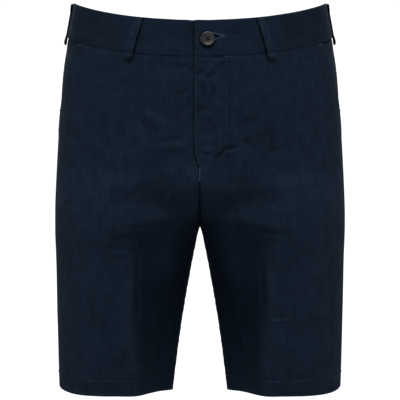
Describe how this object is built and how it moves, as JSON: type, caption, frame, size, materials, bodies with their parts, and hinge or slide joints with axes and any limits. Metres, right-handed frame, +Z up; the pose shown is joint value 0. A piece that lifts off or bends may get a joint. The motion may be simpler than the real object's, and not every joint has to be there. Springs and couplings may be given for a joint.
{
  "type": "bermuda shorts",
  "caption": "Knee-length woven shorts, filled out and hollow, with a waistband, belt loops, a buttoned zip fly, slanted front pockets and hemmed legs.",
  "frame": {"origin": "the middle of the waist opening, where the wearer's waist holds the shorts up, 40.5 mm below the waistband's top edge at the side seams", "axes": "+Z up towards the waist opening, +X towards the wearer's left (the right of the picture), -Y is the front"},
  "size_m": [0.3754, 0.2594, 0.5017],
  "materials": {
    "linen": "dark navy slubby plain-weave linen, matt",
    "zip_tape": "dark navy woven tape",
    "thread": "navy sewing thread, slightly lighter than the cloth",
    "horn": "dark marbled horn-like, satin gloss"
  },
  "bodies": {
    "root": {"front_left": "linen", "front_right": "linen", "back_left": "linen", "back_right": "linen", "waistband_left": "linen", "waistband_right": "linen", "pocket_facing_left": "linen", "pocket_facing_right": "linen", "fly_shield": "linen", "zip": "zip_tape", "belt_loop_front_left": "linen", "belt_loop_front_right": "linen", "belt_loop_side_left": "linen", "belt_loop_side_right": "linen", "belt_loop_back": "linen", "button": "horn"}
  },
  "joints": []
}
